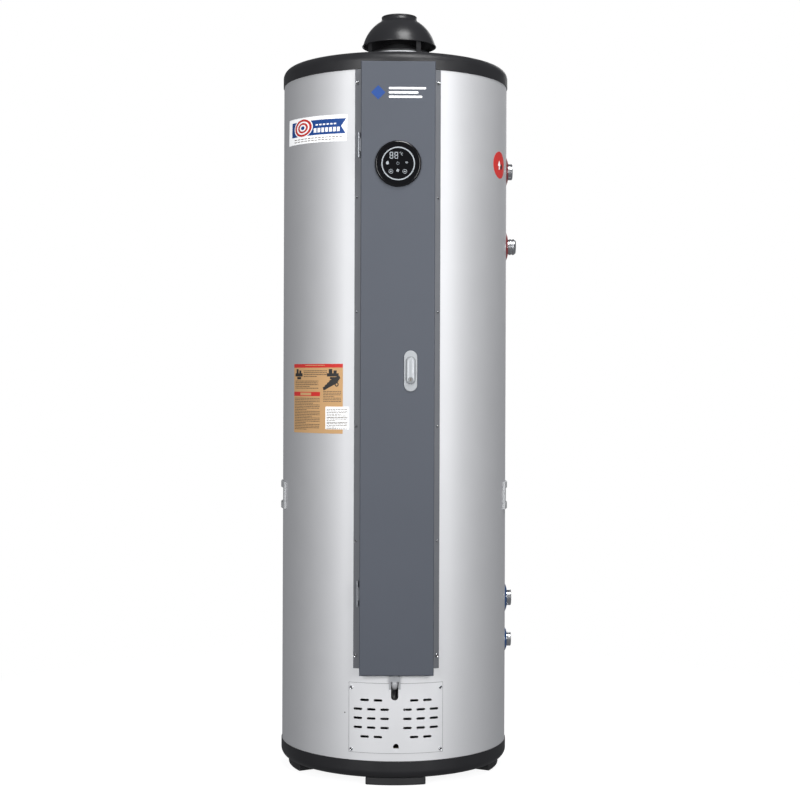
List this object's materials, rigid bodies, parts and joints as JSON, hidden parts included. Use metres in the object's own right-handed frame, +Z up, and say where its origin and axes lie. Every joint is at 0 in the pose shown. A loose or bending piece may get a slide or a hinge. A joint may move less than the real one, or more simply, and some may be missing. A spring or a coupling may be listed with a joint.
{
  "type": "tank water heater",
  "caption": "Tall round floor-standing gas storage water heater with draft hood, hinged control-bay door, burner access panel, side ports and carry grips.",
  "frame": {"origin": "on the floor under the axis of the jacket", "axes": "+Z up along the jacket's axis, -Y out of the front door, +X towards the water ports"},
  "size_m": [0.5261, 0.5331, 1.6735],
  "materials": {
    "silver_steel": "satin",
    "black_steel": "satin",
    "black_plastic": "matte",
    "slate_steel": "satin",
    "tank_steel": "satin",
    "bright_steel": "gloss",
    "zinc_steel": "satin",
    "zinc_casting": "satin",
    "cast_iron": "matte",
    "brass": "satin",
    "aluminium": "satin",
    "foam": "matte",
    "mineral_wool": "matte",
    "gloss_black": "gloss",
    "display_glass": "gloss",
    "circuit_board": "satin",
    "red_plastic": "satin",
    "blue_plastic": "satin",
    "grip_plastic": "matte",
    "white_label": "matte",
    "kraft_label": "matte",
    "red_label": "satin"
  },
  "bodies": {
    "heater": {"jacket": "silver_steel", "jacket_seam": "silver_steel", "seam_screws": "zinc_steel", "top_cap": "black_steel", "bottom_cap": "black_steel", "feet": "black_plastic", "tank_shell": "tank_steel", "tank_top_head": "tank_steel", "tank_bottom_head": "tank_steel", "anode_rod": "aluminium", "flue_tube": "tank_steel", "flue_turbulator": "tank_steel", "foam_insulation": "foam", "chamber_insulation": "mineral_wool", "flue_hood": "black_steel", "hood_legs": "zinc_steel", "hood_screws": "zinc_steel", "hood_baffle": "zinc_steel", "burner": "cast_iron", "burner_venturi": "zinc_steel", "burner_shield": "zinc_steel", "pilot_igniter": "bright_steel", "gas_pipe": "bright_steel", "gas_orifice": "brass", "pipe_clip": "zinc_steel", "bay_pan": "zinc_steel", "gas_valve": "aluminium", "temperature_probe": "brass", "cover_frame": "slate_steel", "cover_screws": "bright_steel", "panel_screws": "bright_steel", "hinge_pins": "bright_steel", "hinge_leaves_frame": "bright_steel", "access_panel": "silver_steel", "port_hot_outlet": "bright_steel", "port_cold_inlet": "bright_steel", "port_drain": "bright_steel", "port_relief": "bright_steel", "escutcheons_hot": "red_plastic", "escutcheons_cold": "blue_plastic", "side_grips": "grip_plastic", "badge_label": "white_label", "instruction_label": "kraft_label", "data_label": "white_label", "hot_sticker": "red_label"},
    "door": {"cover_door": "slate_steel", "hinge_leaves_door": "bright_steel", "latch_plate": "zinc_casting", "latch_nut": "zinc_steel", "controller_bezel": "gloss_black", "controller_glass": "display_glass", "controller_housing": "black_plastic", "controller_board": "circuit_board"},
    "latch": {"latch_lever": "zinc_casting", "latch_cam": "zinc_steel", "latch_cam_screw": "bright_steel"},
    "key": {"key_plug": "bright_steel"},
    "knob": {"gas_knob": "black_plastic"}
  },
  "joints": [
    {"name": "door_hinge", "type": "hinge", "parent": "heater", "child": "door", "pos_m": [-0.0825, -0.257, 0.877], "axis": [0, 0, -1], "range_deg": [0, 110]},
    {"name": "latch_turn", "type": "hinge", "parent": "door", "child": "latch", "pos_m": [0.0276, -0.266, 0.8558], "axis": [0, -1, 0], "range_deg": [0, 90]},
    {"name": "key_turn", "type": "hinge", "parent": "latch", "child": "key", "pos_m": [0.0276, -0.27, 0.8558], "axis": [0, -1, 0], "range_deg": [0, 90]},
    {"name": "gas_knob_turn", "type": "hinge", "parent": "heater", "child": "knob", "pos_m": [0, -0.244, 0.366], "axis": [0, -1, 0], "range_deg": [0, 180]}
  ]
}
